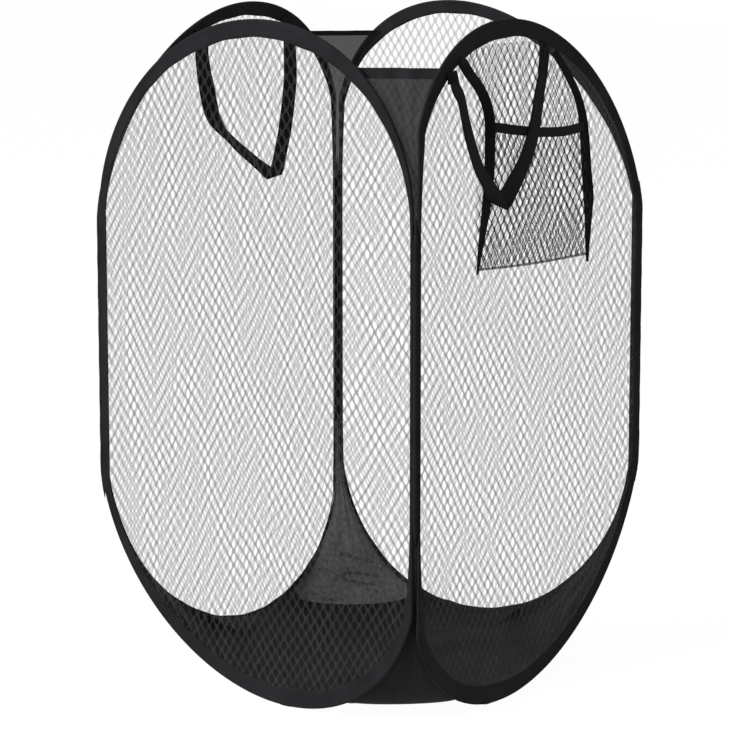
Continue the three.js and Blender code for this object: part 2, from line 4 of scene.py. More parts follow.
import bmesh
import bpy
import numpy as np
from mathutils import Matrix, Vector


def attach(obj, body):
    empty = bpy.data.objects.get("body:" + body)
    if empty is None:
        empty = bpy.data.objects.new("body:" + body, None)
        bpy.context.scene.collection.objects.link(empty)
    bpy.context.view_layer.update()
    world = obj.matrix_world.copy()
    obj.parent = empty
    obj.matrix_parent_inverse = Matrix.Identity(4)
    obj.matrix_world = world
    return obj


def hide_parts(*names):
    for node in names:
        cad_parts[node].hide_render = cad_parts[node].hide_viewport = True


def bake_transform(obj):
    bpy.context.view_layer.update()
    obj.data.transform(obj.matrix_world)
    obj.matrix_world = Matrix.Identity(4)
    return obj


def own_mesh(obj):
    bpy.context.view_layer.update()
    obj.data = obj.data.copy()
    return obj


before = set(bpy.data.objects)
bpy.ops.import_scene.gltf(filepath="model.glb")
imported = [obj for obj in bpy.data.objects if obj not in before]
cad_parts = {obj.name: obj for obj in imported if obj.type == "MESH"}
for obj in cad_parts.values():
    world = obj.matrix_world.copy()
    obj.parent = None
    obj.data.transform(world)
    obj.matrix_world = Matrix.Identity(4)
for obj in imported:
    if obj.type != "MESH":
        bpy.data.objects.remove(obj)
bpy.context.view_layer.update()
collection = bpy.context.scene.collection

# The frame's own sizes, in millimetres
HALF = 177.5
HEIGHT = 610.0
RADIUS = 177.35
TOP_CENTRE = HEIGHT - RADIUS
BOTTOM_CENTRE = RADIUS * math.cos(6.3 / RADIUS)
INNER, OUTER = 0.15, 4.35
MIDDLE = (INNER + OUTER) / 2
PANELS = ["front", "right", "back", "left"]
# How far each ring leans along its plane at its top and at its bottom
LEANS = {"front": (11, 40), "right": (-48, -51), "back": (39, 20), "left": (-41, -41)}
BODY = {name: f"{name}_panel" for name in PANELS}
# The panels before and after each corner, and how far its hem lies below the rings' tops
CORNERS = {
    "front_right": ("front", "right", 46),
    "back_right": ("right", "back", 42),
    "back_left": ("back", "left", 37),
    "front_left": ("left", "front", 42),
}
# Corners that open as the hamper folds, and a share of their cloth's width about its middle
OPENING_CORNERS = ("front_right", "back_left")
OPENING_SHARE = 0.3
# The edges of the corner cloth and the floor: from the ring's edge, and out from its plane
CLOTH_INSET = 5.0
CLOTH_OUT = -0.35
CLOTH_FOOT = 18.0
# Where the width of the bottom cloth is taken
FOOT_LEVEL = 20.0
HEM_HEIGHTS = {"front_right": 7.6, "back_right": 7.6, "back_left": 4.0, "front_left": 7.6}
# Widths of the binding's outside and inside legs along the corners, and the least width
LEAST_LEG = 3.3
CORNER_LEGS = {
    "front_right": (3.3, 3.3),
    "back_right": (9.0, 6.0),
    "back_left": (3.6, 3.4),
    "front_left": (8.6, 7.6),
}
# The same along the arches: outside at the top and bottom, inside at the top and bottom
ARCH_LEGS = {
    "front": (16.5, 16.5, 13.5, 7.0),
    "right": (16.5, 16.5, 13.5, 7.0),
    "back": (13.5, 9.0, 13.0, 8.5),
    "left": (13.5, 7.0, 13.0, 6.5),
}
# Where the ends of each tape lap, as an angle round the bottom arch
LAPS = {"front": 4.67, "right": 4.55, "back": 4.8, "left": 4.6}
# How far the foot of the corner cloth and the floor's cut corner sink between the rings
CORNER_SINKS = {"front_right": 7.0, "back_right": 12.0, "back_left": 17.4, "front_left": 12.0}
# Pressed wrinkles of the back left bottom cloth: share across and height before it sinks
WRINKLES = [
    [(0.64, 49.6), (0.59, 49.2), (0.45, 47.8), (0.295, 45.0), (0.115, 42.0)],
    [(0.955, 39.2), (0.82, 38.5), (0.645, 35.2), (0.49, 33.0), (0.365, 31.2), (0.155, 28.5)],
    [(0.62, 37.5), (0.4, 37.2), (0.235, 35.5), (0.09, 33.2)],
    [(0.965, 23.0), (0.845, 22.8), (0.71, 20.2), (0.57, 18.6)],
]
# Flat sizes of sheets, in metres
FLOOR_QUARTER_FLAT = (0.30, 0.178)

# Ring panels


def smooth(x):
    x = np.clip(x, 0, 1)
    return x * x * (3 - 2 * x)


def to_world(panel, across, out, up):
    """Panel coordinates, across, outwards and up in millimetres, as points in metres."""
    across, out, up = np.broadcast_arrays(
        np.asarray(across, float), np.asarray(out, float), np.asarray(up, float)
    )
    x, y = across, -(HALF + out)
    for _ in range(PANELS.index(panel)):
        x, y = -y, x
    return np.stack([x, y, up], -1) / 1000


def lean_at(panel, up):
    top, bottom = LEANS[panel]
    above = np.maximum(up - TOP_CENTRE, 0) / RADIUS
    below = np.maximum(BOTTOM_CENTRE - up, 0) / RADIUS
    return top * above + bottom * below


def half_width(up, inset):
    radius = RADIUS - inset
    past = np.maximum(np.maximum(up - TOP_CENTRE, BOTTOM_CENTRE - up), 0)
    return np.sqrt(np.maximum(radius * radius - past * past, 0))


def edge_at(panel, up, inset, side):
    limit = RADIUS - inset
    return np.clip(side * half_width(up, inset) + lean_at(panel, up), -limit, limit)


def ring_stations():
    """Rows of (centre height, angle) round the ring: top arc, side, bottom arc, side."""
    arc = np.linspace(0, math.pi, 150)
    side = np.linspace(TOP_CENTRE, BOTTOM_CENTRE, 70)[1:-1]
    rows = [(TOP_CENTRE, a) for a in arc]
    rows += [(z, math.pi) for z in side]
    rows += [(BOTTOM_CENTRE, math.pi + a) for a in arc]
    rows += [(z, 2 * math.pi) for z in side[::-1]]
    return np.array(rows)


STATIONS = ring_stations()
# About the distance between two of them, in millimetres
STATION_STEP = 3.6


def ring_points(panel, stations, inset, out):
    """Points for every station (rows) and every section point (columns)."""
    centre, angle = stations[:, :1], stations[:, 1:2]
    radius = RADIUS - inset
    up = centre + radius * np.sin(angle)
    up = np.maximum(up, inset)
    across = radius * np.cos(angle) + lean_at(panel, up)
    across = np.clip(across, -radius, radius)
    return to_world(panel, across, out, up)


# Meshes


def make(name, points, faces, uvs=None):
    mesh = bpy.data.meshes.new(name)
    mesh.from_pydata(np.asarray(points).reshape(-1, 3).tolist(), [], faces)
    mesh.update()
    obj = bpy.data.objects.new(name, mesh)
    collection.objects.link(obj)
    if uvs is not None:
        layer = mesh.uv_layers.new(name="size")
        index = np.zeros(len(mesh.loops), int)
        mesh.loops.foreach_get("vertex_index", index)
        layer.data.foreach_set("uv", np.asarray(uvs, float).reshape(-1, 2)[index].ravel())
    return obj


def shade(obj):
    obj.data.polygons.foreach_set("use_smooth", [True] * len(obj.data.polygons))
    return obj


def quads(rows, columns, close_rows, close_columns, offset=0):
    r = np.arange(rows if close_rows else rows - 1)
    c = np.arange(columns if close_columns else columns - 1)
    r, c = np.meshgrid(r, c, indexing="ij")
    r2, c2 = (r + 1) % rows, (c + 1) % columns
    index = np.stack([r * columns + c, r * columns + c2, r2 * columns + c2, r2 * columns + c], -1)
    return (index.reshape(-1, 4) + offset).tolist()


def outward(obj):
    """Turns a closed mesh's faces out, going by its volume."""
    mesh = obj.data
    mesh.calc_loop_triangles()
    co = np.array([v.co for v in mesh.vertices])
    tri = np.array([t.vertices for t in mesh.loop_triangles])
    a, b, c = co[tri[:, 0]], co[tri[:, 1]], co[tri[:, 2]]
    if (a * np.cross(b, c)).sum() < 0:
        mesh.flip_normals()
    return obj


def sweep(name, sections, closed=False, uvs=None):
    """A closed body through sections (rows of section points); open ends get caps."""
    rows, columns = sections.shape[:2]
    faces = quads(rows, columns, closed, True)
    if not closed:
        faces.append(list(range(columns))[::-1])
        faces.append([(rows - 1) * columns + i for i in range(columns)])
    return outward(shade(make(name, sections, faces, uvs)))


def slab(name, points, normals, thickness, uvs=None):
    """A grid of points as thin cloth: the grid, and the grid moved along its normals."""
    rows, columns = points.shape[:2]
    count = rows * columns
    faces = quads(rows, columns, False, False)
    faces += [[i + count for i in f[::-1]] for f in faces]
    rim = list(range(columns))
    rim += [r * columns + columns - 1 for r in range(1, rows)]
    rim += [(rows - 1) * columns + c for c in range(columns - 2, -1, -1)]
    rim += [r * columns for r in range(rows - 2, 0, -1)]
    for a, b in zip(rim, rim[1:] + rim[:1]):
        faces.append([b, a, a + count, b + count])
    both = np.concatenate([points.reshape(-1, 3), (points + normals * thickness).reshape(-1, 3)])
    if uvs is not None:
        uvs = np.concatenate([uvs.reshape(-1, 2)] * 2)
    obj = outward(shade(make(name, both, faces, uvs)))
    obj.data.set_sharp_from_angle(angle=1.2)
    return obj


def waves(seed, u, v, lengths, count):
    """Gentle uneven folds: a few sine waves of given lengths in chosen ways. About -1 to 1."""
    rng = np.random.RandomState(seed)
    total = 0
    for _ in range(count):
        length = rng.uniform(*lengths)
        turn = rng.uniform(0, 2 * math.pi)
        way = rng.uniform(-0.5, 0.5)
        along = u * math.cos(way) + v * math.sin(way)
        total = total + np.sin(2 * math.pi * along / length + turn)
    return total / count ** 0.5 / 1.4


# Materials


def nodes_of(name):
    material = bpy.data.materials.new(name)
    material.use_nodes = True
    tree = material.node_tree
    return material, tree, tree.nodes["Principled BSDF"]


def add(tree, kind, **values):
    node = tree.nodes.new(kind)
    for key, value in values.items():
        if hasattr(node, key):
            setattr(node, key, value)
        else:
            node.inputs[key.replace("_", " ")].default_value = value
    return node


def cloth_material(name, dark, light, rough, rib=None, grain=900.0, bump=0.3, alpha=1.0,
                   fleck=0.5, shine=0.2):
    """Woven cloth: uneven dye, a fine grain and, if asked for, ribs across its length."""
    material, tree, shader = nodes_of(name)
    link = tree.links.new
    where = add(tree, "ShaderNodeTexCoord")
    cloudy = add(tree, "ShaderNodeTexNoise", Scale=22.0, Detail=4.0, Roughness=0.6)
    fine = add(tree, "ShaderNodeTexNoise", Scale=grain, Detail=3.0, Roughness=0.7)
    link(where.outputs["Object"], cloudy.inputs["Vector"])
    link(where.outputs["Object"], fine.inputs["Vector"])
    both = add(tree, "ShaderNodeMath", operation="MULTIPLY_ADD")
    both.inputs[1].default_value = fleck
    link(fine.outputs["Fac"], both.inputs[0])
    scaled = add(tree, "ShaderNodeMath", operation="MULTIPLY")
    scaled.inputs[1].default_value = 1 - fleck
    link(cloudy.outputs["Fac"], scaled.inputs[0])
    link(scaled.outputs[0], both.inputs[2])
    ramp = add(tree, "ShaderNodeValToRGB")
    ramp.color_ramp.elements[0].position = 0.35
    ramp.color_ramp.elements[1].position = 0.68
    ramp.color_ramp.elements[0].color = (*dark, 1)
    ramp.color_ramp.elements[1].color = (*light, 1)
    link(both.outputs[0], ramp.inputs["Fac"])
    link(ramp.outputs["Color"], shader.inputs["Base Color"])
    shader.inputs["Roughness"].default_value = rough
    shader.inputs["Specular IOR Level"].default_value = shine
    shader.inputs["Alpha"].default_value = alpha
    height = fine.outputs["Fac"]
    if rib:
        uv = add(tree, "ShaderNodeUVMap", uv_map="size")
        wave = add(tree, "ShaderNodeTexWave", Scale=rib, Distortion=0.6)
        wave.bands_direction = "Y"
        wave.inputs["Detail Scale"].default_value = 2.0
        link(uv.outputs["UV"], wave.inputs["Vector"])
        mixed = add(tree, "ShaderNodeMath", operation="ADD")
        link(wave.outputs["Fac"], mixed.inputs[0])
        link(fine.outputs["Fac"], mixed.inputs[1])
        height = mixed.outputs[0]
    relief = add(tree, "ShaderNodeBump", Strength=bump, Distance=0.0005)
    link(height, relief.inputs["Height"])
    link(relief.outputs["Normal"], shader.inputs["Normal"])
    return material


def grey(value, tint=0.0):
    return (value, value, value * (1 + tint))


NET = cloth_material("net_yarn", grey(0.03), grey(0.12), 0.75, grain=1400.0, bump=0.5, alpha=0.2,
                     shine=0.05)
POCKET_NET = cloth_material("pocket_yarn", grey(0.02), grey(0.07), 0.75, grain=1400.0, bump=0.5,
                            alpha=0.55, shine=0.08)
BINDING = cloth_material("binding_cloth", grey(0.010, 0.15), grey(0.025, 0.15), 0.7, rib=900.0,
                         grain=1500.0, bump=0.35, shine=0.04)
GUSSET = cloth_material("sheer_cloth", grey(0.028), grey(0.055), 0.65, grain=1800.0, bump=0.25,
                        alpha=0.72, shine=0.08)
CREASED_GUSSET = cloth_material("creased_sheer_cloth", grey(0.015), grey(0.125), 0.65, grain=260.0,
                                bump=0.25, alpha=0.885, fleck=0.65, shine=0.08)
# A darker, less see-through copy of the sheer cloth for the front right top: painted shade.
SHADED_FRONT_GUSSET = cloth_material("front_sheer_cloth_painted_shade", grey(0.014), grey(0.03), 0.65, grain=1800.0,
                              bump=0.25, alpha=0.82, shine=0.08)
# The corner cloth as a darker, opaque sheet, for the front right bottom.
DARK_OPAQUE_GUSSET = cloth_material("dark_opaque_cloth", grey(0.018), grey(0.036), 0.7, grain=1800.0, bump=0.25,
                              shine=0.05)
FLOOR = cloth_material("floor_cloth", grey(0.006, 0.15), grey(0.013, 0.15), 0.7, grain=1500.0,
                       bump=0.25, shine=0.04)
WEBBING = cloth_material("webbing_cloth", grey(0.009), grey(0.028), 0.7, rib=700.0, grain=1200.0,
                         bump=0.9, shine=0.05)
# The top and bottom cloth of each corner
CORNER_CLOTHS = {
    "front_right": (SHADED_FRONT_GUSSET, DARK_OPAQUE_GUSSET),
    "back_right": (FLOOR, FLOOR),
    "back_left": (GUSSET, CREASED_GUSSET),
    "front_left": (GUSSET, FLOOR),
}


def steel_material():
    material, tree, shader = nodes_of("spring_steel")
    noise = add(tree, "ShaderNodeTexNoise", Scale=400.0, Detail=3.0)
    ramp = add(tree, "ShaderNodeMapRange")
    ramp.inputs["To Min"].default_value = 0.25
    ramp.inputs["To Max"].default_value = 0.45
    tree.links.new(noise.outputs["Fac"], ramp.inputs["Value"])
    tree.links.new(ramp.outputs["Result"], shader.inputs["Roughness"])
    shader.inputs["Metallic"].default_value = 1.0
    shader.inputs["Base Color"].default_value = (0.55, 0.56, 0.58, 1)
    return material


STEEL = steel_material()


def dress(obj, material):
    obj.data.materials.clear()
    obj.data.materials.append(material)
    return obj


for name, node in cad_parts.items():
    if name.endswith(("spring_wire", "wire_ferrule")):
        dress(node, STEEL)

# Nets: wavy strands side by side, touching their neighbours in turn

PITCH = 4.8
PERIOD = 14.0
ROWS_PER_PERIOD = 8
STRAND = 1.8
YARN_THICKNESS_SHARE = 0.4


def strands(panel, columns, limits, out, seed, width=STRAND, sag=0.6):
    """Strands at columns (across), each between limits(across) -> (low, high) or None."""
    rng = np.random.RandomState(seed)
    points, faces, start = [], [], 0
    for index, across in enumerate(columns):
        span = limits(across)
        if span is None or span[1] - span[0] < PERIOD * 0.6:
            continue
        low, high = span
        first = math.ceil(low / PERIOD * ROWS_PER_PERIOD)
        last = math.floor(high / PERIOD * ROWS_PER_PERIOD)
        up = np.arange(first, last + 1) * PERIOD / ROWS_PER_PERIOD
        up = np.concatenate([[low], up, [high]])
        up = up[np.concatenate([[True], np.diff(up) > 0.3])]
        sway = 0.8 * np.sin(up / 61.0 + across / 47.0 + seed)
        sway += 0.6 * np.sin(up / 23.0 - across / 31.0 + 2 * seed)
        drift = 2.6 * np.sin(across / 19.0 + up / 90.0 + seed)
        drift += 1.8 * np.sin(across / 11.0 - up / 55.0 + 1.3 * seed)
        phase = 2 * math.pi * (up + drift) / PERIOD + (math.pi if index % 2 else 0)
        swing = (PITCH - width * 0.9) / 2
        shape = np.cos(phase)
        shape = np.sign(shape) * np.abs(shape) ** 0.7
        jitter = rng.normal(0, 0.16, len(up))
        middle = across + swing * shape + sway + jitter
        depth = out(middle, up) + sag * 0.25 * np.sin(up / 37.0 + across / 53.0)
        half = width / 2 * (0.9 + 0.25 * np.abs(shape))
        section = [
            to_world(panel, middle + half * i, depth + half * YARN_THICKNESS_SHARE * o, up)
            for i, o in ((-1, -1), (-1, 1), (1, 1), (1, -1))
        ]
        rows = len(up)
        points.append(np.stack(section, 1).reshape(-1, 3))
        faces += quads(rows, 4, False, True, start)
        faces.append([start + 3, start + 2, start + 1, start])
        faces.append([start + (rows - 1) * 4 + i for i in range(4)])
        start += rows * 4
    return np.concatenate(points), faces


def between_crossings(inside, across, low, high):
    """Lowest and highest heights where inside(across, up) holds, or None."""
    ups = np.arange(low, high, 1.0)
    held = inside(np.full(len(ups), across), ups)
    if not held.any():
        return None
    good = ups[held]
    return good[0], good[-1]


def build_net(panel, seed):
    inset = 3.4

    def inside(across, up):
        left = edge_at(panel, up, inset, -1)
        right = edge_at(panel, up, inset, 1)
        past = np.maximum(np.maximum(up - TOP_CENTRE, BOTTOM_CENTRE - up), 0)
        return (across > left) & (across < right) & (past < RADIUS - inset)

    columns = np.arange(-36, 37) * PITCH
    points, faces = strands(
        panel,
        columns,
        lambda a: between_crossings(inside, a, inset, HEIGHT - inset),
        lambda a, u: MIDDLE + 0 * u,
        seed,
    )
    obj = shade(make(f"{panel}_net_mesh", points, faces))
    dress(obj, NET)
    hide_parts(f"{panel}_net")
    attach(obj, BODY[panel])
    return obj


# Bindings


def binding_leg(leg, pinch, bulb, start):
    """One leg of the folded tape: (inset, out from the middle), outer face then inner face."""
    rise = min(1.0, max(0.0, (leg - 4.2) / 3))
    neck = 3.0 + min(0.35 * (leg - 3.0), 1.3)
    outer = [(start, 0.5 * bulb), (start + 0.4, 0.86 * bulb), (2.1, bulb), (2.9, 0.92 * bulb)]
    outer += [(neck, 0.84 * bulb - 0.25 * rise + 0.3 * pinch)]
    outer += [(neck + 0.7 * (leg - neck), 1.0 - 0.35 * pinch)]
    outer += [(leg - 0.2 * min(1.0, leg - neck), 1.0 + pinch), (leg, 0.8)]
    inner = [(leg, 0.5), (neck - 0.1, 0.6), (2.9, 0.66 * bulb), (2.1, 0.78 * bulb)]
    inner += [(start + 0.35, 0.6 * bulb)]
    return outer + inner


def binding_section(outside, inside, pinch, bulb, start):
    bottom = [(inset, -out) for inset, out in reversed(binding_leg(inside, pinch, bulb, start))]
    return binding_leg(outside, pinch, bulb, start) + bottom


def leg_length(angle, sides, top, bottom):
    arches = np.where(np.sin(angle) > 0, top, bottom)
    return sides + (arches - sides) * np.abs(np.sin(angle)) ** 1.3


def side_legs(panel, angle):
    """Leg widths at the corner on the same side of the ring as each station."""
    after = next(CORNER_LEGS[name] for name, corner in CORNERS.items() if corner[0] == panel)
    before = next(CORNER_LEGS[name] for name, corner in CORNERS.items() if corner[1] == panel)
    near_after = smooth(0.5 + 1.5 * np.cos(angle))[:, None]
    return np.array(after) * near_after + np.array(before) * (1 - near_after)


def uneven(rng, path, least, most, counts):
    """A sum of sine waves that close round the ring, each of an uneven height."""
    total = path[-1] + STATION_STEP
    return sum(
        rng.uniform(least, most) * np.sin(2 * math.pi * k * path / total + rng.uniform(0, 6.28))
        for k in counts
    )


def build_binding(panel, seed):
    angle = STATIONS[:, 1]
    rng = np.random.RandomState(seed)
    path = np.cumsum(np.full(len(STATIONS), STATION_STEP))
    wander = uneven(rng, path, 0.15, 0.35, (7, 11, 17, 26, 43))
    pucker = uneven(rng, path, 0.05, 0.11, (60, 83, 110))
    legs = side_legs(panel, angle)
    over, under, high, low = ARCH_LEGS[panel]
    share = np.abs(np.sin(angle))
    lap = smooth((angle - LAPS[panel]) / 0.012) * smooth((LAPS[panel] + 0.075 - angle) / 0.012)
    outside = leg_length(angle, legs[:, 0], over, under) + wander * share + 0.5 * lap
    inside = leg_length(angle, legs[:, 1], high, low) + wander * 0.7 * share
    outside, inside = np.maximum(outside, LEAST_LEG), np.maximum(inside, LEAST_LEG)
    bulb = 1.4 + 0.35 * share + 0.4 * lap
    start = 0.5 - 0.4 * lap
    rows = []
    for i in range(len(STATIONS)):
        section = np.array(
            binding_section(outside[i], inside[i], pucker[i] * share[i], bulb[i], start[i])
        )
        out = MIDDLE + section[:, 1]
        rows.append(ring_points(panel, STATIONS[i : i + 1], section[:, 0], out)[0])
    sections = np.array(rows)
    girth = np.linspace(0, 0.045, sections.shape[1])
    uvs = np.stack(np.meshgrid(path / 1000, girth, indexing="ij")[::-1], -1)
    obj = sweep(f"{panel}_binding_tape", sections, closed=True, uvs=uvs)
    dress(obj, BINDING)
    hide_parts(f"{panel}_binding")
    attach(obj, BODY[panel])
    return obj


# Corner cloth


def corner_rows(corner, ups):
    """Points on both panels' inner faces at each height: arrays for the two ends."""
    before, after, _ = CORNERS[corner]
    a = to_world(before, edge_at(before, ups, CLOTH_INSET, 1), CLOTH_OUT, ups)
    b = to_world(after, edge_at(after, ups, CLOTH_INSET, -1), CLOTH_OUT, ups)
    return a, b


def sink_at(corner, share):
    """How far the corner cloth's foot sinks at a share of the way across, millimetres."""
    return CORNER_SINKS[corner] * np.sin(math.pi * np.clip(share, 0, 1)) ** 0.25


def corner_cloth(name, corner, ups, columns, folds, thickness, part, sinks=False):
    """A sheet between two panels; part is the share of the way across that it covers."""
    a, b = corner_rows(corner, ups)
    t = np.linspace(part[0], part[1], columns)
    points = a[:, None] * (1 - t[None, :, None]) + b[:, None] * t[None, :, None]
    inward = -(a + b)
    inward[:, 2] = 0
    inward /= np.linalg.norm(inward, axis=-1, keepdims=True)
    width = np.linalg.norm(b - a, axis=-1)[:, None]
    edge = np.sin(math.pi * t)[None, :] ** 0.5
    depth = folds(t[None, :], ups[:, None], width) * edge
    points = points + inward[:, None] * depth[..., None]
    if sinks:
        fade = 1 - smooth((ups - CLOTH_FOOT) / 45)
        points[..., 2] -= sink_at(corner, t)[None] * fade[:, None] / 1000
    uvs = np.stack([t[None, :] * width, ups[:, None] / 1000 + 0 * t[None, :]], -1)
    return slab(name, points, inward[:, None] + 0 * points, thickness, uvs)


def corner_points(corner, up):
    a, b = corner_rows(corner, np.array([up]))
    return a[0], b[0]


def attach_corner(obj, corner, up, side=None):
    """Bakes a piece's place into its mesh, or lets it ride on one side's panel."""
    if side is None:
        a, b = corner_points(corner, up)
        if corner in OPENING_CORNERS:
            middle = (a + b) / 2
            a = middle + OPENING_SHARE * (a - middle)
            b = middle + OPENING_SHARE * (b - middle)
        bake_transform(obj)
    else:
        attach(obj, BODY[side])


def parts_of(corner):
    """The back right corner has no joint, so its cloth is made in two halves."""
    before, after, _ = CORNERS[corner]
    if corner == "back_right":
        return [("_first", (0.0, 0.5), before), ("_second", (0.5, 1.0), after)]
    return [("", (0.0, 1.0), None)]


def top_folds(seed):
    def folds(t, up, width):
        streak = waves(seed, t * 3.0, up / 600, (0.5, 1.4), 5)
        pull = np.exp(-((t - 0.55 + (up - 500) / 900) / 0.09) ** 2)
        return (0.0006 + 0.0016 * width / 0.1) * (0.5 + 0.5 * streak) + 0.0035 * pull * width / 0.12

    return folds


def pressed_wrinkles(share, up):
    """Narrow creases with a low ridge above each, in metres."""
    depth = 0
    for line in WRINKLES:
        line = sorted(line)
        at = [place for place, _ in line]
        away = up - np.interp(share, at, [height for _, height in line])
        ends = smooth((share - at[0]) / 0.09) * smooth((at[-1] - share) / 0.09)
        crease = 4.2 * np.exp(-((away / 1.25) ** 2))
        ridge = 1.3 * np.exp(-(((away - 3.2) / 2.2) ** 2))
        depth = depth + ends * (ridge - crease) / 1000
    return depth


def bottom_folds(seed, wrinkled):
    def folds(t, up, width):
        streak = waves(seed, t * 2.0, up / 140, (0.35, 1.1), 7)
        foot = smooth((up - CLOTH_FOOT) / 25)
        depth = (0.001 + 0.004 * width / 0.16) * (0.6 + 0.5 * streak) * foot
        return depth + pressed_wrinkles(t, up) if wrinkled else depth

    return folds


# Pieces that ride on one side's panel, with that panel
TO_FLATTEN = []


def declare_cloth(obj, width, length, rests_on, with_pieces):
    """Works out the loop triangles of a sheet's mesh."""
    obj.data.calc_loop_triangles()


def build_corner(corner, seed):
    before, after, drop = CORNERS[corner]
    top = HEIGHT - drop
    top_cloth, bottom_cloth = CORNER_CLOTHS[corner]
    wrinkled = corner == "back_left"
    hem_ups = np.linspace(top - 0.8, top + 0.2 + HEM_HEIGHTS[corner], 9)
    low_ups = np.linspace(CLOTH_FOOT - 0.1, 75, 96 if wrinkled else 30)
    low_ups = np.concatenate([low_ups, np.linspace(75, BOTTOM_CENTRE + 2, 31)[1:]])

    def hem_folds(t, up, width):
        return top_folds(seed)(t, up * 0 + top, width) - 0.0004

    for tail, part, side in parts_of(corner):
        label = f"{corner}{tail}"
        columns = 33 if side is None else 17
        gusset = corner_cloth(
            f"{label}_top_gusset_cloth", corner, np.linspace(TOP_CENTRE - 2, top, 47), columns,
            top_folds(seed), 0.0005, part,
        )
        dress(gusset, top_cloth)
        hem = corner_cloth(
            f"{label}_top_hem_tape", corner, hem_ups, columns, hem_folds, 0.0021, part,
        )
        dress(hem, BINDING)
        lower = corner_cloth(
            f"{label}_bottom_gusset_cloth", corner, low_ups, 91 if wrinkled else columns,
            bottom_folds(seed + 5, wrinkled), 0.0005, part, sinks=True,
        )
        dress(lower, bottom_cloth)
        share = part[1] - part[0]
        width_top = float(np.linalg.norm(np.subtract(*corner_points(corner, top)))) * share
        width_low = np.linalg.norm(np.subtract(*corner_points(corner, FOOT_LEVEL)))
        width_low = float(width_low) * share
        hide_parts(f"{corner}_top_gusset")
        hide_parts(f"{corner}_top_hem")
        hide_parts(f"{corner}_bottom_gusset")
        for piece in (gusset, lower, hem):
            attach_corner(piece, corner, FOOT_LEVEL if piece is lower else top, side)
            if side:
                TO_FLATTEN.append((piece, side))
        held = [f"{before}_binding_tape", f"{after}_binding_tape"]
        declare_cloth(gusset, width_top, (top - TOP_CENTRE) / 1000, held, [hem])
        declare_cloth(lower, width_low, (BOTTOM_CENTRE - 19) / 1000, held, [])


def build_seam(corner, seed):
    before, after, _ = CORNERS[corner]
    ups = np.linspace(BOTTOM_CENTRE - 16, TOP_CENTRE + 16, 96)
    section = [(-0.6, -0.6), (3.0, -0.9), (3.6, 0.9), (2.7, 2.7), (0.9, 3.6), (-0.9, 3.0)]
    rng = np.random.RandomState(seed)
    rows = []
    for index, up in enumerate(ups):
        tip = min(up - ups[0], ups[-1] - up) / 30
        swell = 1 + 0.03 * math.sin(up / 5.0 + seed) + rng.uniform(-0.02, 0.02)
        swell *= 0.1 + 0.9 * math.sin(min(tip, 1) * math.pi / 2)
        points = []
        for first, second in section:
            first, second = first * swell, second * swell
            corner_point = to_world(before, HALF, 0, up)
            out_first = to_world(before, HALF, 1, up) - corner_point
            out_second = to_world(after, -HALF, 1, up) - corner_point
            points.append(corner_point + out_first * first + out_second * second)
        rows.append(points)
    sections = np.array(rows)
    uvs = np.stack(np.meshgrid(ups / 1000, np.linspace(0, 0.015, 6), indexing="ij")[::-1], -1)
    obj = sweep(f"{corner}_seam_tape", sections, uvs=uvs)
    dress(obj, BINDING)
    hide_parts(f"{corner}_corner_seam")
    if corner == "back_right":
        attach(obj, BODY[before])
    else:
        attach_corner(obj, corner, FOOT_LEVEL)


# Floor: one quarter for each panel, so that it folds in with them


def floor_height(rim_height, share):
    """Height of the floor at a share of the way from its middle to its rim."""
    return 0.4 + np.maximum(share - 0.8, 0) / 0.2 * (rim_height - 0.4)


def flatten(obj, panel):
    """Gives a piece its own copy of its mesh."""
    outer = to_world(panel, 0, 0, 0)
    way = Vector(to_world(panel, 0, 1, 0) - outer).normalized()
    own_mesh(obj)


def corner_between(before, after):
    return next(name for name, corner in CORNERS.items() if corner[:2] == (before, after))


def build_floor(panel, index):
    radius = RADIUS - CLOTH_INSET
    reach = math.acos((BOTTOM_CENTRE - CLOTH_FOOT) / radius)
    angles = np.linspace(-reach, reach, 49)
    ups = BOTTOM_CENTRE - radius * np.cos(angles)
    across = radius * np.sin(angles) + lean_at(panel, ups)
    rim = to_world(panel, across, CLOTH_OUT, ups)
    following = PANELS[(index + 1) % 4]
    previous = PANELS[(index - 1) % 4]

    def rim_end(name, side):
        up = np.array([CLOTH_FOOT])
        half = radius * math.sin(reach)
        return to_world(name, side * half + lean_at(name, up), CLOTH_OUT, up)[0]

    start = (rim[0] + rim_end(previous, 1)) / 2
    finish = (rim[-1] + rim_end(following, -1)) / 2
    steps = np.sin(np.linspace(0, math.pi / 2, 14))
    first = start + (rim[0] - start) * steps[:-1, None]
    last = rim[-1] + (finish - rim[-1]) * (1 - steps[::-1])[1:, None]
    first[:, 2] -= sink_at(corner_between(previous, panel), 0.5 + steps[:-1] / 2) / 1000
    last[:, 2] -= sink_at(corner_between(panel, following), (1 - steps[::-1])[1:] / 2) / 1000
    edge = np.concatenate([first, rim, last])
    shares = np.concatenate([np.linspace(0.003, 0.78, 28), np.linspace(0.8, 1, 10)])
    points = edge[None] * shares[:, None, None]
    height = floor_height(edge[None, :, 2] * 1000, shares[:, None]) / 1000
    x, y = points[..., 0], points[..., 1]
    ripple = waves(31, x / 0.12, y / 0.12, (0.5, 1.3), 8)
    lift = np.maximum(ripple, 0) * 0.0022 * np.minimum(1, (1 - shares[:, None]) * 6)
    points[..., 2] = height + lift
    normals = np.zeros_like(points)
    normals[..., 2] = 1
    obj = slab(f"floor_{panel}_quarter", points, normals, 0.0006, points[..., :2])
    dress(obj, FLOOR)
    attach(obj, BODY[panel])
    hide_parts("floor_panel")
    return obj


# Straps


WEBBING_THICKNESS = 1.3
TAB_ROWS = 24
